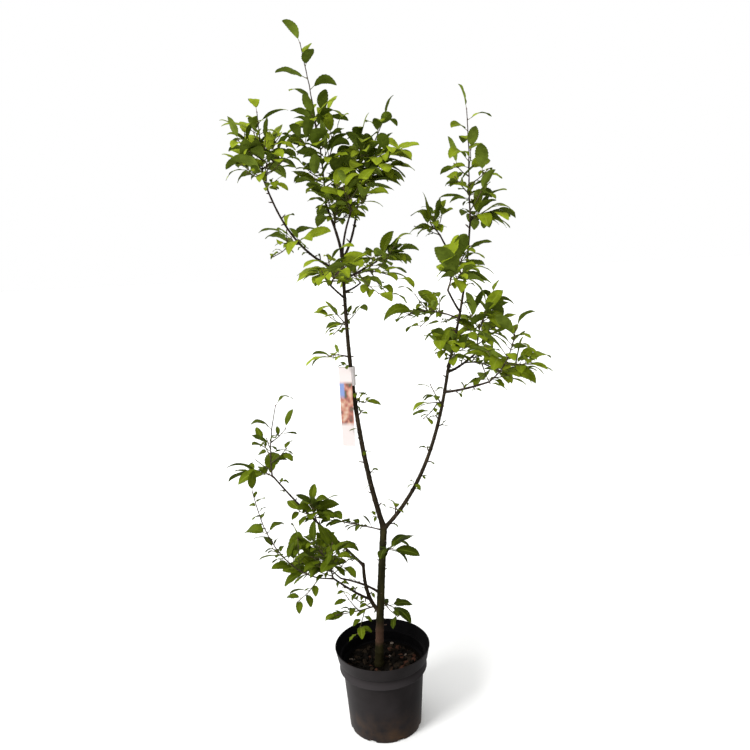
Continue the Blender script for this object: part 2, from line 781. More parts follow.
def add_twig(build, twig, seed, swell, look):
    path, lengths = twig_path(twig, seed)
    radii = []
    for length in lengths:
        radius = taper(twig.radius, length / lengths[-1])
        radius *= 1 + swell * math.exp(-(length / COLLAR_LENGTH) ** 2)
        radii.append(radius * (1 + 1.4 * NODE_SWELL * node_swelling(length, seed * 0.011)))
    rings = rings_along(path, radii, TWIG_SIDES)
    rings.append([path[-1] + (path[-1] - path[-2]).normalized() * radii[-1]])
    build.add(*loft(rings), look)


def add_bud(build, point, direction, size, look):
    """A pointed bud, set with its foot in the twig."""
    foot = point - direction * (BUD_LENGTH * 0.2 * size)
    shares = ((0.0, 0.7), (0.3, 1.0), (0.65, 0.72))
    path = [foot + direction * (BUD_LENGTH * size * share) for share, _ in shares]
    rings = rings_along(path, [BUD_RADIUS * size * width for _, width in shares], 6)
    rings.append([foot + direction * (BUD_LENGTH * size)])
    build.add(*loft(rings), look)


# A leaf's blade as a grid of corners


def blade_width(u):
    """The blade's half width, as a share of its greatest, at a share of its length."""
    peak = BLADE_FOOT_POWER / (BLADE_FOOT_POWER + BLADE_TIP_POWER)
    full = peak ** BLADE_FOOT_POWER * (1 - peak) ** BLADE_TIP_POWER
    return u ** BLADE_FOOT_POWER * (1 - u) ** BLADE_TIP_POWER / full


def bent(start, start_pull, end, end_pull, t):
    """Points and directions of a curve between two points with a pull at each."""
    t = t[:, None]
    points = (start * (2 * t ** 3 - 3 * t ** 2 + 1) + start_pull * (t ** 3 - 2 * t ** 2 + t)
              + end * (3 * t ** 2 - 2 * t ** 3) + end_pull * (t ** 3 - t ** 2))
    slopes = (start * (6 * t ** 2 - 6 * t) + start_pull * (3 * t ** 2 - 4 * t + 1)
              + end * (6 * t - 6 * t ** 2) + end_pull * (3 * t ** 2 - 2 * t))
    return points, slopes


def midrib(leaf, shares):
    """The leaf's arched midline: places at shares of its length, and the directions."""
    root = np.array(leaf.root)
    middle = root + np.array(leaf.out) * leaf.length * LEAF_MIDDLE
    rest = leaf.length * (1 - LEAF_MIDDLE)
    tip = middle + np.array(leaf.fall) * rest
    droop = np.array((leaf.fall - UP * DROOP).normalized())
    pull = (tip - root) * 0.5
    near, far = shares < LEAF_MIDDLE, shares >= LEAF_MIDDLE
    points = np.zeros((len(shares), 3))
    slopes = np.zeros((len(shares), 3))
    points[near], slopes[near] = bent(root, np.array(leaf.out) * leaf.length * LEAF_MIDDLE,
                                      middle, pull, shares[near] / LEAF_MIDDLE)
    points[far], slopes[far] = bent(middle, pull, tip, droop * rest,
                                    (shares[far] - LEAF_MIDDLE) / (1 - LEAF_MIDDLE))
    return points, slopes / np.linalg.norm(slopes, axis=1)[:, None]


def blade_faces(stations):
    """Faces of the closed blade and what each is: upper side, rib or lower side."""
    across = len(BLADE_ACROSS)
    inner = across - 2
    first_lower = stations * across

    def lower(station, k):
        if k in (0, across - 1):
            return station * across + k
        return first_lower + station * inner + k - 1

    faces, kinds = [], []
    for n in range(stations - 1):
        for k in range(across - 1):
            row, following = n * across + k, (n + 1) * across + k
            faces.append((row, following, following + 1, row + 1))
            kinds.append("rib" if k == across // 2 - 1 else "upper")
            faces.append((lower(n, k), lower(n, k + 1), lower(n + 1, k + 1), lower(n + 1, k)))
            kinds.append("lower")
    for n in (0, stations - 1):
        upper_row = [n * across + k for k in range(across)]
        lower_row = [lower(n, k) for k in range(across - 2, 0, -1)]
        loop = upper_row + lower_row
        faces.append(tuple(loop if n == 0 else loop[::-1]))
        kinds.append("lower")
    return faces, kinds


BLADES = {stations: blade_faces(stations) for stations in (BLADE_STATIONS, TINY_STATIONS)}


def blade_points(leaf, draw, stations):
    """Corners of one blade, arched along the midrib, folded and a little waved."""
    u = np.linspace(0, 1, stations) ** 0.92
    centre, ahead = midrib(leaf, BLADE_START + (1 - BLADE_START) * u)
    side = np.array(leaf.side)
    side = side - ahead * (ahead @ side)[:, None]
    side /= np.linalg.norm(side, axis=1)[:, None]
    above = np.cross(side, ahead)
    twist = math.radians(draw.uniform(-BLADE_TWIST, BLADE_TWIST)) * u
    cos, sin = np.cos(twist)[:, None], np.sin(twist)[:, None]
    side, above = side * cos + above * sin, above * cos - side * sin

    half = np.maximum(blade_width(u) * leaf.width * BLADE_FILL / 2, 0.0004)
    teeth = 1 + TOOTH * np.where(np.arange(stations) % 2, 1, -1)
    w = np.array(BLADE_ACROSS)
    edge = np.abs(w) > 0.9
    x = w[None, :] * half[:, None] * np.where(edge[None, :], teeth[:, None], 1)
    fold, curl = draw.uniform(*BLADE_FOLD), draw.uniform(*BLADE_CURL)
    wave, phase = draw.uniform(0, BLADE_WAVE), draw.uniform(0, 2 * math.pi)
    reach = np.abs(w)[None, :]
    z = half[:, None] * (fold * reach - curl * reach ** 2)
    z = z + wave * w[None, :] ** 3 * np.sin(2 * math.pi * 2.2 * u + phase)[:, None]
    veins = np.cos(2 * math.pi * (VEIN_COUNT * u[:, None] - 0.9 * reach))
    z = z + VEIN_RELIEF * veins * (reach > 0.3) * (1 - 0.6 * edge)[None, :]

    upper = centre[:, None, :] + side[:, None, :] * x[..., None] + above[:, None, :] * z[..., None]
    ribbed = np.abs(w) < 0.1
    depth = BLADE_THICKNESS + RIB_DEPTH * ribbed[None, :] * (1 - 0.8 * u)[:, None]
    lower = upper - above[:, None, :] * depth[..., None]
    return np.concatenate([upper.reshape(-1, 3), lower[:, 1:-1].reshape(-1, 3)])


def add_leaf(build, leaf, draw, looks):
    """One leaf: its stalk and its blade."""
    shares = np.linspace(0, BLADE_START + 0.04, STALK_STEPS)
    path, _ = midrib(leaf, shares)
    path = [Vector(point) for point in path]
    size = min(leaf.length / LEAF_LENGTH, 1.0)
    radii = [taper(STALK_RADIUS, k / (STALK_STEPS - 1)) * size for k in range(STALK_STEPS)]
    build.add(*loft(rings_along(path, radii, STALK_SIDES)), looks["stalk"])
    stations = TINY_STATIONS if leaf.length < TINY_LEAF else BLADE_STATIONS
    faces, kinds = BLADES[stations]
    build.add(blade_points(leaf, draw, stations).tolist(), faces,
              [looks[kind] for kind in kinds])


# Materials


def shader_of(look):
    return look.node_tree.nodes["Principled BSDF"]


def material(name, colour, roughness, specular=0.5):
    look = bpy.data.materials.new(name)
    look.use_nodes = True
    shader = shader_of(look)
    shader.inputs["Base Color"].default_value = (*colour, 1)
    shader.inputs["Roughness"].default_value = roughness
    shader.inputs["Specular IOR Level"].default_value = specular
    return look


def node(look, kind, **settings):
    made = look.node_tree.nodes.new(kind)
    for name, value in settings.items():
        setattr(made, name, value)
    return made


def noise_node(look, scale, detail=3.0, stretch=(1, 1, 1)):
    """A noise texture in object space, stretched along the axes."""
    links = look.node_tree.links
    coordinates = node(look, "ShaderNodeTexCoord")
    mapping = node(look, "ShaderNodeMapping")
    mapping.inputs["Scale"].default_value = stretch
    texture = node(look, "ShaderNodeTexNoise")
    texture.inputs["Scale"].default_value = scale
    texture.inputs["Detail"].default_value = detail
    links.new(coordinates.outputs["Object"], mapping.inputs["Vector"])
    links.new(mapping.outputs["Vector"], texture.inputs["Vector"])
    return texture


def mottle(look, scale, stops, detail=3.0, stretch=(1, 1, 1)):
    """Colours the surface by noise, through the stops (place, colour)."""
    links = look.node_tree.links
    texture = noise_node(look, scale, detail, stretch)
    ramp = node(look, "ShaderNodeValToRGB")
    elements = ramp.color_ramp.elements
    while len(elements) < len(stops):
        elements.new(0.5)
    for element, (place, colour) in zip(elements, stops):
        element.position = place
        element.color = (*colour, 1)
    links.new(texture.outputs["Fac"], ramp.inputs["Fac"])
    links.new(ramp.outputs["Color"], shader_of(look).inputs["Base Color"])
    return ramp


def grain(look, scale, strength, distance, detail=4.0, stretch=(1, 1, 1)):
    """Fine relief from noise."""
    links = look.node_tree.links
    texture = noise_node(look, scale, detail, stretch)
    bump = node(look, "ShaderNodeBump")
    bump.inputs["Strength"].default_value = strength
    bump.inputs["Distance"].default_value = distance
    links.new(texture.outputs["Fac"], bump.inputs["Height"])
    links.new(bump.outputs["Normal"], shader_of(look).inputs["Normal"])


def between(look, axis, start, full, fade, end):
    """A factor that is 1 between two places on one of the object's axes, and 0 outside."""
    links = look.node_tree.links
    coordinates = node(look, "ShaderNodeTexCoord")
    split = node(look, "ShaderNodeSeparateXYZ")
    links.new(coordinates.outputs["Object"], split.inputs["Vector"])
    both = node(look, "ShaderNodeMath", operation="MULTIPLY")
    for k, (outer, inner) in enumerate(((start, full), (end, fade))):
        edge = node(look, "ShaderNodeMapRange")
        edge.inputs["From Min"].default_value = outer
        edge.inputs["From Max"].default_value = inner
        links.new(split.outputs[axis], edge.inputs["Value"])
        links.new(edge.outputs["Result"], both.inputs[k])
    return both.outputs["Value"]


def overlay(look, factor, under, colour):
    """Lays a colour over the output under by a factor, as the look's own colour."""
    links = look.node_tree.links
    mix = node(look, "ShaderNodeMix", data_type="RGBA")
    links.new(factor, mix.inputs["Factor"])
    links.new(under, mix.inputs["A"])
    mix.inputs["B"].default_value = (*colour, 1)
    links.new(mix.outputs["Result"], shader_of(look).inputs["Base Color"])
    return mix.outputs["Result"]


def shaded(colour, factor):
    return tuple(min(1.0, channel * factor) for channel in colour)


def mottled(name, colour, roughness, scale, contrast, specular=0.5, stretch=(1, 1, 1)):
    """A material whose colour wanders round its own by a share of it."""
    look = material(name, colour, roughness, specular)
    mottle(look, scale, [(0.3, shaded(colour, 1 - contrast)), (0.7, shaded(colour, 1 + contrast))],
           stretch=stretch)
    return look


LEAF_TONES = (
    (0.024, 0.036, 0.002),
    (0.032, 0.046, 0.002),
    (0.042, 0.060, 0.003),
    (0.055, 0.078, 0.003),
    (0.072, 0.100, 0.004),
    (0.093, 0.126, 0.005),
    (0.119, 0.158, 0.006),
    (0.150, 0.196, 0.008),
    (0.190, 0.242, 0.011),
    (0.240, 0.300, 0.016),
)
MIDDLE_TONE = 6.6
SHADED_TONE = 5
REGION_TONES = {"crown": 1.2, "right": 0.2, "low": -2.9}
TRUNK_TONE = -5.5
SPRAY_WANDER = 0.40
LEAF_WANDER = 0.55
TIP_TONE = 0.6


def leaf_kinds(tone):
    """The material number of each part of a leaf of one tone."""
    first = len(LEAF_TONES) + 2 * int(tone < SHADED_TONE)
    return {"upper": tone, "lower": first, "rib": first + 1, "stalk": len(LEAF_TONES) + 4}


def leaf_materials():
    looks = []
    for number, colour in enumerate(LEAF_TONES):
        look = mottled(f"leaf_{number}", colour, 0.60, 70, 0.24, 0.03)
        grain(look, 900, 0.25, 0.0004)
        looks.append(look)
    looks.append(mottled("leaf_underside", (0.140, 0.190, 0.022), 0.75, 70, 0.20, 0.03))
    looks.append(mottled("leaf_rib", (0.190, 0.235, 0.022), 0.60, 120, 0.08, 0.05))
    looks.append(mottled("leaf_underside_shade", (0.070, 0.100, 0.010), 0.75, 70, 0.20, 0.03))
    looks.append(mottled("leaf_rib_shade", (0.095, 0.125, 0.012), 0.60, 120, 0.08, 0.05))
    looks.append(mottled("leaf_stalk", (0.100, 0.100, 0.020), 0.60, 150, 0.15, 0.10))
    return looks


# Bands of the trunk's bark, as heights start, full, fade and end, each with its colour
TRUNK_BANDS = (
    ((0.245, 0.262, 0.290, 0.330), (0.066, 0.035, 0.022)),
    ((0.150, 0.160, 0.215, 0.250), (0.013, 0.011, 0.003)),
)


def bark_material(name, colour, light, contrast, bands=()):
    """Bark with long streaks, pores and fine grain, and with bands of other colours."""
    look = material(name, colour, 0.80, 0.08)
    ramp = mottle(look, 70, [(0.28, shaded(colour, 1 - contrast)), (0.52, colour),
                             (0.72, light)], 6.0, (1, 1, 0.3))
    grain(look, 420, 0.55, 0.0010, 6.0, (1, 1, 0.5))
    under = ramp.outputs["Color"]
    for band, shade in bands:
        under = overlay(look, between(look, "Z", *band), under, shade)
    return look


# Heights between which dust lies on the pot's shoulder
DUSTY_BAND = (0.183, 0.187, 0.196, 0.213)
DUSTY_COLOUR = (0.0250, 0.0215, 0.0225)


def pot_material():
    """Charcoal plastic, dusty, with soil splashed up from the foot."""
    plastic, dust, soil = (0.0098, 0.0076, 0.0076), (0.0195, 0.0160, 0.0165), (0.050, 0.027, 0.013)
    look = material("pot_plastic", plastic, 0.50, 0.12)
    links = look.node_tree.links
    ramp = mottle(look, 14, [(0.35, plastic), (0.75, dust)], 6.0)
    coordinates = node(look, "ShaderNodeTexCoord")
    split = node(look, "ShaderNodeSeparateXYZ")
    links.new(coordinates.outputs["Object"], split.inputs["Vector"])
    height = node(look, "ShaderNodeMapRange")
    height.inputs["From Min"].default_value = 0.105
    height.inputs["From Max"].default_value = 0.005
    links.new(split.outputs["Z"], height.inputs["Value"])
    splash = noise_node(look, 26, 5.0)
    spread = node(look, "ShaderNodeMapRange")
    spread.inputs["From Min"].default_value = 0.38
    spread.inputs["From Max"].default_value = 0.72
    links.new(splash.outputs["Fac"], spread.inputs["Value"])
    cover = node(look, "ShaderNodeMath", operation="MULTIPLY")
    links.new(height.outputs["Result"], cover.inputs[0])
    links.new(spread.outputs["Result"], cover.inputs[1])
    mix = node(look, "ShaderNodeMix", data_type="RGBA")
    links.new(cover.outputs["Value"], mix.inputs["Factor"])
    links.new(ramp.outputs["Color"], mix.inputs["A"])
    mix.inputs["B"].default_value = (*soil, 1)
    overlay(look, between(look, "Z", *DUSTY_BAND), mix.outputs["Result"], DUSTY_COLOUR)
    grain(look, 700, 0.12, 0.0004)
    return look


# Pieces


def arc(centre, radius, start, end, steps):
    """Points of an arc, in degrees."""
    points = []
    for k in range(steps + 1):
        angle = math.radians(start + (end - start) * k / steps)
        points.append((centre[0] + radius * math.cos(angle),
                       centre[1] + radius * math.sin(angle)))
    return points


def wall_radius(height):
    """The outer radius of the pot's plain wall, below the collar."""
    top = POT_HEIGHT - COLLAR_HEIGHT - SHOULDER_HEIGHT
    return BASE_RADIUS + (WALL_TOP_RADIUS - BASE_RADIUS) * height / top


def turned(name, profile, sides):
    """A profile of (radius, height) points, turned about Z."""
    mesh = bpy.data.meshes.new(name)
    points = [(radius, 0, height) for radius, height in profile]
    mesh.from_pydata(points, [(k, k + 1) for k in range(len(points) - 1)], [])
    obj = bpy.data.objects.new(name, mesh)
    bpy.context.scene.collection.objects.link(obj)
    screw = obj.modifiers.new("turn", "SCREW")
    screw.axis = "Z"
    screw.steps = sides
    screw.render_steps = sides
    screw.use_merge_vertices = True
    screw.merge_threshold = 0.00001
    return obj


def apply_all(obj, weld=0.0):
    """Applies an object's modifiers and welds its mesh."""
    depsgraph = bpy.context.evaluated_depsgraph_get()
    mesh = bpy.data.meshes.new_from_object(obj.evaluated_get(depsgraph), depsgraph=depsgraph)
    obj.modifiers.clear()
    obj.data = mesh
    if weld:
        work = bmesh.new()
        work.from_mesh(mesh)
        bmesh.ops.remove_doubles(work, verts=work.verts, dist=weld)
        bmesh.ops.recalc_face_normals(work, faces=work.faces)
        work.to_mesh(mesh)
        work.free()
    return obj


def make_pot():
    collar_foot = POT_HEIGHT - COLLAR_HEIGHT
    wall_top = collar_foot - SHOULDER_HEIGHT
    ledge = wall_top + POT_WALL
    shoulder_top, shoulder_foot = SHOULDER_RADIUS
    bead = BEAD
    outside = arc((RIM_RADIUS - bead, POT_HEIGHT - bead), bead, 90, -15, 5)
    outside += [(RIM_RADIUS - 0.0010, POT_HEIGHT - 0.0042)]
    outside += [(COLLAR_FOOT_RADIUS + 0.0006, collar_foot + 0.002),
                (COLLAR_FOOT_RADIUS, collar_foot), (COLLAR_FOOT_RADIUS - 0.0012, collar_foot - 0.0014)]
    outside += [(shoulder_top, collar_foot - 0.0022), (shoulder_foot, wall_top + 0.0042)]
    outside += arc((shoulder_foot - 0.0010, wall_top + 0.0022), 0.0018, 50, -80, 6)
    outside += [(WALL_TOP_RADIUS + 0.0010, wall_top), (WALL_TOP_RADIUS, wall_top - 0.0008),
                (wall_radius(wall_top - 0.002), wall_top - 0.002)]
    outside += [(wall_radius(wall_top * k / 6), wall_top * k / 6) for k in range(5, 0, -1)]
    outside += [(wall_radius(0.0024), 0.0024)]
    outside += arc((BASE_RADIUS - 0.0020, 0.0020), 0.0020, -10, -90, 4)
    outside += [(BASE_RADIUS - 0.012, 0.0), (0, 0)]
    inside = [(0, POT_FLOOR), (wall_radius(POT_FLOOR) - POT_WALL, POT_FLOOR)]
    inside += [(wall_radius(ledge) - POT_WALL, ledge), (shoulder_foot - POT_WALL, ledge + 0.0012),
               (shoulder_top - POT_WALL, collar_foot + POT_WALL - 0.0012),
               (COLLAR_FOOT_RADIUS - POT_WALL, collar_foot + POT_WALL)]
    inside += [(RIM_RADIUS - POT_WALL - 0.0006, POT_HEIGHT - 0.0060)]
    inside += arc((RIM_RADIUS - POT_WALL + bead, POT_HEIGHT - bead), bead, 180, 90, 4)
    pot = apply_all(turned("pot_shell", outside + inside + outside[:1], POT_SIDES), 0.00001)
    cutters = []
    for k in range(NOTCH_COUNT):
        angle = (k + 0.5) * 2 * math.pi / NOTCH_COUNT
        out = Vector((math.cos(angle), math.sin(angle), 0))
        work = bmesh.new()
        bmesh.ops.create_cone(work, cap_ends=True, segments=48, radius1=NOTCH_RADIUS,
                              radius2=NOTCH_RADIUS, depth=2 * NOTCH_DEPTH)
        mesh = bpy.data.meshes.new("notch")
        work.to_mesh(mesh)
        work.free()
        notch = bpy.data.objects.new("notch", mesh)
        notch.rotation_euler = out.to_track_quat("Z", "Y").to_euler()
        notch.location = out * BASE_RADIUS - UP * NOTCH_DROP
        bpy.context.scene.collection.objects.link(notch)
        cut = pot.modifiers.new("notch", "BOOLEAN")
        cut.operation = "DIFFERENCE"
        cut.solver = "EXACT"
        cut.object = notch
        cutters.append(notch)
    apply_all(pot)
    for notch in cutters:
        bpy.data.objects.remove(notch, do_unlink=True)
    pot.data.shade_smooth()
    pot.data.set_sharp_from_angle(angle=math.radians(38))
    finish_piece(pot, [pot_material(), mottled("pot_inside", POT_INSIDE, 0.6, 30, 0.3, 0.04)],
                 ("pot",))
    for face in pot.data.polygons:
        out = Vector((face.center.x, face.center.y, 0))
        inner = face.center.z > POT_FLOOR / 2 and face.normal.dot(out) < 0
        face.material_index = int(inner)


def soil_height(x, y):
    """The lumpy level of the compost, drawn down a little to the pot's wall."""
    lumps = noise.noise(Vector((x * 38, y * 38, 0.0))) + 0.5 * noise.noise(
        Vector((x * 110, y * 110, 5.0)))
    return SOIL_LEVEL - 0.0015 + SOIL_ROUGHNESS * lumps


def make_compost(looks):
    """A closed bed with a lumpy top."""
    outer = wall_radius(SOIL_LEVEL) - POT_WALL - 0.0004
    rings = [[Vector((0, 0, soil_height(0, 0)))]]
    for k in range(1, SOIL_RINGS + 1):
        radius = outer * k / SOIL_RINGS
        ring = []
        for side in range(SOIL_SIDES):
            angle = 2 * math.pi * side / SOIL_SIDES
            x, y = radius * math.cos(angle), radius * math.sin(angle)
            ring.append(Vector((x, y, soil_height(x, y))))
        rings.append(ring)
    low = wall_radius(POT_FLOOR) - POT_WALL - 0.0004
    rings.append([Vector((corner.x * low / outer, corner.y * low / outer, POT_FLOOR + 0.0004))
                  for corner in rings[-1]])
    rings.append([Vector((0, 0, POT_FLOOR + 0.0004))])
    points, faces = loft(rings)
    bed = Build()
    bed.add(points, [face[::-1] for face in faces], 0)
    bed.piece("compost_bed", looks, "compost", ("compost",))


def make_chips(looks):
    """Chips of bark, each a lopsided flake, strewn over the compost."""
    draw = random.Random(77)
    chips = Build()
    outer = wall_radius(SOIL_LEVEL) - POT_WALL
    for _ in range(CHIP_COUNT):
        length = draw.triangular(*CHIP_LENGTH, CHIP_LENGTH[0] * 1.4)
        width = length * draw.uniform(0.45, 0.85)
        thick = length * draw.uniform(0.10, 0.24)
        reach = (outer - length * 0.62) * math.sqrt(draw.random())
        angle = draw.uniform(0, 2 * math.pi)
        x, y = reach * math.cos(angle), reach * math.sin(angle)
        if math.hypot(x - TRUNK_FOOT.x, y - TRUNK_FOOT.y) < 0.019 + length / 2:
            continue
        turn = (Matrix.Rotation(draw.uniform(0, 2 * math.pi), 3, "Z")
                @ Matrix.Rotation(draw.gauss(0, 0.28), 3, "X")
                @ Matrix.Rotation(draw.gauss(0, 0.28), 3, "Y"))
        centre = Vector((x, y, soil_height(x, y) + thick * 0.35 + draw.uniform(0, 0.002)))
        corners = []
        for k in range(7):
            around = 2 * math.pi * k / 7 + draw.uniform(-0.25, 0.25)
            far = draw.uniform(0.75, 1.05) / 2
            corners.append((length * far * math.cos(around), width * far * math.sin(around)))
        rings = []
        for level, size in ((-0.5, 0.86), (0.1, 1.0), (0.5, 0.84)):
            rings.append([centre + turn @ Vector((a * size, b * size, thick * level))
                          for a, b in corners])
        lit = LIT_SIDE.dot(Vector((x, y))) > LIT_REACH
        look = draw.choices(range(len(CHIP_SHADES)), LIT_SHARES if lit else CHIP_SHARES)[0]
        chips.add(*loft(rings), look)
    chips.piece("compost_chips", looks, "compost", sharp=35)


def tag_anchor(leader):
    loop_middle = TAG_TOP - TAG_LOOP_HEIGHT / 2
    return min((along(leader, k / 200)[0] for k in range(201)),
               key=lambda point: abs(point.z - loop_middle))


def band_body(build, centre_line, height, bottom, thickness, look, bow=0.0):
    """A thin upright band that follows a line seen from above, closed all round."""
    rings = []
    count = len(centre_line)
    for k, point in enumerate(centre_line):
        before, after = centre_line[max(k - 1, 0)], centre_line[min(k + 1, count - 1)]
        ahead = Vector((after[0] - before[0], after[1] - before[1], 0)).normalized()
        out = Vector((ahead.y, -ahead.x, 0)) * (thickness / 2)
        spot = Vector((point[0], point[1], 0))
        rows = 1 if not bow else 24
        front, back = [], []
        for n in range(rows + 1):
            share = n / rows
            sway = Vector((0, -bow * math.sin(math.pi * share) ** 2, 0)) if bow else Vector()
            level = UP * (bottom + height * share)
            front.append(spot + out + level + sway)
            back.append(spot - out + level + sway)
        rings.append(front + back[::-1])
    build.add(*loft(rings), look)


def make_tag(leader, looks):
    """The tag: a loop round the leader and a strip that hangs from it, a little bowed."""
    centre = tag_anchor(leader)
    lean = math.acos((TAG_LOOP_RADIUS - TAG_TAIL_RADIUS) / TAG_LOOP_TAIL)
    radius, tail = TAG_LOOP_RADIUS - TAG_THICKNESS / 2, TAG_TAIL_RADIUS - TAG_THICKNESS / 2
    outline = []
    for k in range(29):
        angle = -(math.pi - lean) + 2 * (math.pi - lean) * k / 28
        outline.append((centre.x + radius * math.cos(angle), centre.y + radius * math.sin(angle)))
    for k in range(9):
        angle = (math.pi - lean) + 2 * lean * k / 8
        outline.append((centre.x - TAG_LOOP_TAIL + tail * math.cos(angle),
                        centre.y + tail * math.sin(angle)))
    loop = Build()
    band_body(loop, outline, TAG_LOOP_HEIGHT, TAG_TOP - TAG_LOOP_HEIGHT, TAG_THICKNESS, 0)
    loop.piece("tag_loop", [looks[0]], "tag", ("tag",), sharp=40)

    slope = math.pi / 2 - lean
    start = Vector((centre.x - TAG_LOOP_TAIL - TAG_TAIL_RADIUS * math.sin(slope),
                    centre.y - TAG_TAIL_RADIUS * math.cos(slope), 0))
    line = []
    for k in range(9):
        reach = TAG_WIDTH * k / 8
        line.append((start.x + reach * math.cos(slope), start.y - reach * math.sin(slope)))
    strip = Build()
    band_body(strip, line, TAG_TOP - TAG_BOTTOM, TAG_BOTTOM, TAG_THICKNESS, 0, 0.004)
    strip.piece("tag_strip", [looks[1]], "tag", ("tag",), sharp=40)


TAG_BLOTCHES = (
    (0.32, (0.09, 0.09, 0.05)),
    (0.42, (0.26, 0.09, 0.07)),
    (0.50, (0.44, 0.17, 0.12)),
    (0.58, (0.52, 0.28, 0.19)),
    (0.68, (0.64, 0.46, 0.36)),
)
TAG_PALE = (0.74, 0.66, 0.64)
TAG_BLUE = (0.20, 0.28, 0.55)
TAG_PICTURE = (0.26, 0.31, 0.79, 0.83)
TAG_SKY = (0.60, 0.66, 0.79, 0.83)
TAG_SKY_SIDE = 0.016


def tag_print_material(left):
    """Glossy plastic with a plain design: soft coloured blotches on a pale strip."""
    look = material("tag_print", TAG_PALE, 0.24, 0.5)
    links = look.node_tree.links
    ramp = mottle(look, 62, TAG_BLOTCHES, 1.5, (1, 1, 0.7))
    height = TAG_TOP - TAG_BOTTOM
    sky = node(look, "ShaderNodeMath", operation="MULTIPLY")
    levels = [TAG_BOTTOM + share * height for share in TAG_SKY]
    links.new(between(look, "Z", *levels), sky.inputs[0])
    side = left + TAG_SKY_SIDE
    links.new(between(look, "X", left - 0.010, left - 0.005, side - 0.004, side), sky.inputs[1])
    design = overlay(look, sky.outputs["Value"], ramp.outputs["Color"], TAG_BLUE)
    levels = [TAG_BOTTOM + share * height for share in TAG_PICTURE]
    mix = node(look, "ShaderNodeMix", data_type="RGBA")
    links.new(between(look, "Z", *levels), mix.inputs["Factor"])
    mix.inputs["A"].default_value = (*TAG_PALE, 1)
    links.new(design, mix.inputs["B"])
    links.new(mix.outputs["Result"], shader_of(look).inputs["Base Color"])
    return look


def make_limbs(axes, looks):
    """Trunk, leaders and boughs, each a tube with bark relief."""
    trunk_top = TRUNK_LENGTH + SOIL_LEVEL

    def trunk_radius(point, share):
        return taper(TRUNK_RADIUS, (point.z - SOIL_LEVEL) / (trunk_top - SOIL_LEVEL)) + flare_at(
            point.z)

    trunk = Build()
    trunk.add(*loft(bark_tube(axes["trunk"], trunk_radius, 1, 28, 0.0028, 0.0, True)), 0)
    trunk.piece("trunk_bark", [looks["trunk"]], "bark", ("trunk",))

    leaders, boughs = Build(), Build()
    for number, limb in enumerate(LIMBS):
        build = leaders if limb.name in LEADERS else boughs

        def radius_at(point, share, radius=limb.radius):
            return taper(radius, share)

        rings = bark_tube(axes[limb.name], radius_at, number + 2, LIMB_SIDES, LIMB_STEP,
                          COLLAR_SWELL, True)
        build.add(*loft(rings), 0)
    leaders.piece("leader_bark", [looks["leader"]], "bark", LEADERS)
    others = [limb.name for limb in LIMBS if limb.name not in LEADERS]
    boughs.piece("bough_bark", [looks["bough"]], "bark", others)


def add_bare_spurs(build, leaf_builds, axes):
    """Short spurs with a bud, and often small leaves, set round the trunk and leaders."""
    draw = random.Random(31)
    limb_radius = {limb.name: limb.radius for limb in LIMBS}
    for name in SPURRED:
        points = axes[name]
        count = round(lengths_of(points)[-1] / BARE_SPUR_SPACING)
        for k in range(1, count):
            share = (k + draw.uniform(-0.35, 0.35)) / count
            point, direction = along(points, share)
            if point.z < LEAF_FLOOR:
                continue
            out = radial(direction, k * GOLDEN_ANGLE + draw.uniform(-25, 25))
            out = (out + direction * draw.uniform(0.1, 0.9)).normalized()
            start = point + out * (taper(limb_radius.get(name, TRUNK_RADIUS), share) * 0.6)
            length = draw.uniform(*BARE_SPUR_LENGTH)
            path = [start + out * (length * n / 3) for n in range(4)]
            radii = [taper(BARE_SPUR_RADIUS, n / 3) for n in range(4)]
            radii[2] *= 1.2
            build.add(*loft(rings_along(path, radii, 7)), 0)
            add_bud(build, path[-1], (out + UP * 0.3).normalized(), 0.9, 2)
            if name == "trunk" or draw.random() > SPUR_LEAF_SHARE:
                continue
            spur = make_twig(path, BARE_SPUR_RADIUS)
            for turn in range(draw.choice((1, 2, 3))):
                small = leaf_at(spur, 0.8, turn * GOLDEN_ANGLE + draw.uniform(0, 60), LEAF_ANGLE,
                                draw, draw.uniform(*SPUR_LEAF_SIZE))
                add_leaf(leaf_builds[region_of_limb(name)], small, draw, leaf_kinds(SPUR_LEAF_TONE))


def region_of_limb(name):
    if name in CROWN_LIMBS:
        return "crown"
    return "right" if name in RIGHT_LIMBS else "low"


def region_of(mass):
    return region_of_limb(mass.limb)


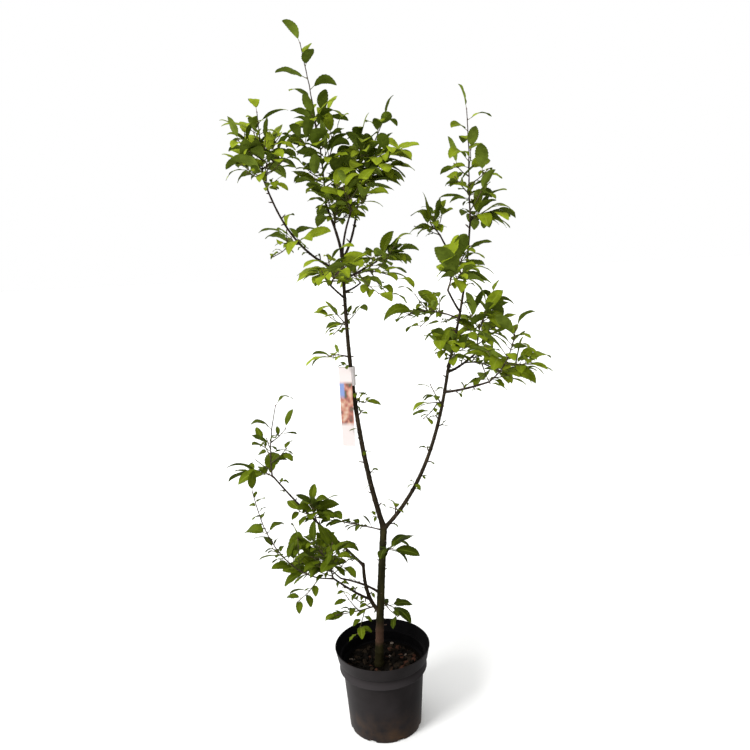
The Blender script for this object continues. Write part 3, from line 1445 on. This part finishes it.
def make_foliage(axes, growth, tag_box, looks):
    """Grows every mass, and joins twigs, buds and leaves by region of the tree."""
    obstacles = []
    for name, points in axes.items():
        if name == "trunk":
            radii = trunk_radii(points)
        else:
            limb = next(limb for limb in LIMBS if limb.name == name)
            radii = limb_radii(limb.radius, len(points) - 1)
        obstacles.extend(limb_shapes(points, radii))
    low, high = tag_box
    ends = []
    for x in (low.x, high.x):
        ends.append([Vector((x, low.y, low.z)), Vector((x, low.y, high.z)),
                     Vector((x, high.y, high.z)), Vector((x, high.y, low.z))])
    obstacles.append(shape_of(ends))

    stems = {}
    for mass in MASSES:
        foot = along(growth[mass.limb], mass.at)[0]
        steps = max(2, round(mass.length / STEM_STEP))
        points = axis_points(foot, mass.heading, mass.rise, mass.length, steps)
        stems[mass.name] = make_twig(points, STEM_RADIUS)

    grown = []
    for mass in MASSES:
        stem = stems[mass.name]
        others = [twig_test(other, 0) for name, other in stems.items() if name != mass.name]
        twigs, leaves, shapes = grow(mass, stem, obstacles + others)
        grown.append((mass, stem, twigs, leaves, shapes))
        obstacles.extend([twig_shape(twig) for twig in twigs] + shapes)

    leaf_looks = looks["leaves"]
    builds = {name: Build() for name in ("crown", "right", "low")}
    twig_build = Build()
    count = 0
    for number, (mass, stem, twigs, leaves, shapes) in enumerate(grown):
        foreign = [shape for shape in obstacles if shape not in shapes]
        own = [twig_shape(twig) for twig in twigs]
        foreign = [shape for shape in foreign
                   if all((shape.centre - mine.centre).length > 1e-6 for mine in own)]
        nearby = list(shapes)
        more, spurs = grow_companions(mass, stem, twigs, leaves, nearby, foreign)
        more += grow_sprigs(mass, stem, twigs, leaves + more, nearby, foreign)
        draw = random.Random(5000 + mass.seed)
        build = builds[region_of(mass)]
        shift = TRUNK_TONE if mass.limb == "trunk" else REGION_TONES[region_of(mass)]
        spray_tone = MIDDLE_TONE + shift + draw.gauss(0, SPRAY_WANDER)
        for twig_number, twig in enumerate(twigs):
            thin = twig is not stem
            add_twig(twig_build, twig, number * 7.3 + twig_number, 0.5 if thin else 0.3,
                     1 if thin else 0)
        for path in spurs:
            middle = path[0].lerp(path[1], 0.5)
            radii = [SPUR_RADIUS[0], taper(SPUR_RADIUS, 0.5), SPUR_RADIUS[1]]
            rings = rings_along([path[0], middle, path[1]], radii, 5)
            twig_build.add(*loft(rings + [[path[1] + (path[1] - path[0]) * 0.1]]), 1)
        for leaf, twig, share, angle in leaves + more:
            count += 1
            tone = round(draw.gauss(spray_tone, LEAF_WANDER) + (TIP_TONE if share > 0.85 else 0.0))
            tone = min(max(tone, 0), len(LEAF_TONES) - 1)
            add_leaf(build, leaf, draw, leaf_kinds(tone))
            point, direction = along(twig.points, share)
            point = point + (leaf.out - direction * leaf.out.dot(direction)).normalized() * (
                taper(twig.radius, share) * 0.7)
            lean = (direction + leaf.out * 0.5).normalized()
            add_bud(twig_build, point + direction * 0.002, lean, draw.uniform(0.55, 0.85), 2)
        for twig in twigs:
            point, direction = along(twig.points, 1)
            add_bud(twig_build, point, direction, 1.1, 2)
    add_bare_spurs(twig_build, builds, axes)
    open("/tmp/leaf_count.txt", "w").write(str(count))
    for name, build in builds.items():
        replaced = [mass.name for mass in MASSES if region_of(mass) == name]
        build.piece("leaves_" + name, leaf_looks, "foliage", replaced, sharp=70)
        open("/tmp/leaf_count.txt", "a").write(f" {name} {sum(len(face) - 2 for face in build.faces)}")
    twig_build.piece("twigs", [looks["twig"], looks["shoot"], looks["bud"]], "bark")
    print("twigs", sum(len(face) - 2 for face in twig_build.faces))


# Stage


def make_stage():
    floor_look = material("floor", (0.97, 0.97, 0.96), 0.9, 0.1)
    mesh = bpy.data.meshes.new("floor")
    half = 30
    mesh.from_pydata([(-half, -half, 0), (half, -half, 0), (half, half, 0), (-half, half, 0)],
                     [], [(0, 1, 2, 3)])
    floor = bpy.data.objects.new("floor", mesh)
    bpy.context.scene.collection.objects.link(floor)
    floor.data.materials.append(floor_look)
    floor.visible_diffuse = False
    floor.visible_glossy = False


SKY_LIGHT = 1.05
GROUND_LIGHT = 0.85
LEFT_LIGHT = 1.60
RIGHT_LIGHT = 0.24
LAMPS = (
    ("key", (3.0, 2.4, -3.3), 2.3, 20),
    ("fill", (-3.0, 3.0, -1.5), 0.4, 60),
)


def make_lights():
    """A pale studio: light from all round, brighter from above and from the left, and suns."""
    world = bpy.data.worlds.new("studio")
    bpy.context.scene.world = world
    world.use_nodes = True
    nodes, links = world.node_tree.nodes, world.node_tree.links
    background = nodes["Background"]
    path = nodes.new("ShaderNodeLightPath")
    split = nodes.new("ShaderNodeSeparateXYZ")
    coordinates = nodes.new("ShaderNodeTexCoord")
    level = nodes.new("ShaderNodeMapRange")
    for socket, value in (("From Min", -0.2), ("From Max", 0.5), ("To Min", GROUND_LIGHT),
                          ("To Max", SKY_LIGHT)):
        level.inputs[socket].default_value = value
    side = nodes.new("ShaderNodeMapRange")
    for socket, value in (("From Min", -1.0), ("To Min", LEFT_LIGHT), ("To Max", RIGHT_LIGHT)):
        side.inputs[socket].default_value = value
    both = nodes.new("ShaderNodeMath")
    both.operation = "MULTIPLY"
    strength = nodes.new("ShaderNodeMix")
    strength.inputs["B"].default_value = 1.0
    links.new(coordinates.outputs["Generated"], split.inputs["Vector"])
    links.new(split.outputs["Z"], level.inputs["Value"])
    links.new(split.outputs["X"], side.inputs["Value"])
    links.new(level.outputs["Result"], both.inputs[0])
    links.new(side.outputs["Result"], both.inputs[1])
    links.new(path.outputs["Is Camera Ray"], strength.inputs["Factor"])
    links.new(both.outputs["Value"], strength.inputs["A"])
    links.new(strength.outputs["Result"], background.inputs["Strength"])
    background.inputs["Color"].default_value = (1, 1, 1, 1)

    for name, aim, power, breadth in LAMPS:
        lamp = bpy.data.lights.new(name, "SUN")
        lamp.energy = power
        lamp.angle = math.radians(breadth)
        obj = bpy.data.objects.new(name, lamp)
        obj.rotation_euler = Vector(aim).to_track_quat("-Z", "Y").to_euler()
        bpy.context.scene.collection.objects.link(obj)


CAMERA_PLACE = Vector((0.014, -1.895, 1.42))
CAMERA_PITCH = math.radians(10.68)
CAMERA_ROLL = math.radians(-2.78)
CAMERA_LENS = 33.6
PICTURE_SIDE = 750
PICTURE_CENTRE_U = 374


def make_camera():
    """The camera stands where the photo was taken from, with the photo's slight roll."""
    camera = bpy.data.cameras.new("camera")
    camera.sensor_width = 36
    camera.lens = CAMERA_LENS
    camera.shift_x = (PICTURE_SIDE / 2 - PICTURE_CENTRE_U) / PICTURE_SIDE
    obj = bpy.data.objects.new("camera", camera)
    turn = (Matrix.Rotation(math.pi / 2 - CAMERA_PITCH, 4, "X")
            @ Matrix.Rotation(CAMERA_ROLL, 4, "Z"))
    obj.matrix_world = Matrix.Translation(CAMERA_PLACE) @ turn
    bpy.context.scene.collection.objects.link(obj)
    bpy.context.scene.camera = obj


def main():
    bpy.context.scene.view_settings.view_transform = "Standard"
    make_camera()
    make_stage()
    make_lights()

    axes = {"trunk": trunk_axis()}
    growth = {"trunk": axis_points(TRUNK_FOOT, TRUNK_HEADING, TRUNK_RISE, TRUNK_LENGTH,
                                   TRUNK_STEPS)}
    for limb in LIMBS:
        steps = LONG_LIMB_STEPS if limb.length > LONG_LIMB else LIMB_STEPS
        foot = along(growth[limb.parent], limb.at)[0]
        growth[limb.name] = axis_points(foot, limb.heading, limb.rise, limb.length, steps)
        axes[limb.name] = growth[limb.name]

    make_pot()
    soil = mottled("compost", (0.004, 0.003, 0.002), 0.95, 160, 0.6, 0.02)
    grain(soil, 500, 0.8, 0.002)
    make_compost([soil])
    chip_colours = {"chip_dark": (0.004, 0.003, 0.002), "chip_brown": (0.015, 0.010, 0.006),
                    "chip_red": (0.042, 0.017, 0.010), "chip_pale": (0.15, 0.12, 0.10)}
    chips = []
    for name in CHIP_SHADES:
        look = mottled(name, chip_colours[name], 0.85, 160, 0.25, 0.06)
        grain(look, 700, 0.6, 0.001)
        chips.append(look)
    make_chips(chips)

    looks = {
        "trunk": bark_material("bark_trunk", (0.020, 0.018, 0.006), (0.040, 0.033, 0.010), 0.5,
                               TRUNK_BANDS),
        "leader": bark_material("bark_leader", (0.025, 0.018, 0.010), (0.048, 0.034, 0.019),
                                0.45),
        "bough": bark_material("bark_bough", (0.030, 0.020, 0.014), (0.055, 0.040, 0.030),
                               0.4),
        "twig": bark_material("bark_twig", (0.050, 0.034, 0.025), (0.085, 0.064, 0.050), 0.35),
        "shoot": bark_material("bark_shoot", (0.075, 0.070, 0.030), (0.115, 0.105, 0.055),
                               0.3),
        "bud": mottled("bud", (0.100, 0.052, 0.035), 0.6, 300, 0.3, 0.3),
        "leaves": leaf_materials(),
    }
    make_limbs(axes, looks)
    make_foliage(axes, growth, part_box("tag"), looks)
    paper = mottled("tag_plain", (0.80, 0.74, 0.73), 0.28, 40, 0.03)
    make_tag(axes["left_leader"], [paper, tag_print_material(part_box("tag")[0].x)])


main()
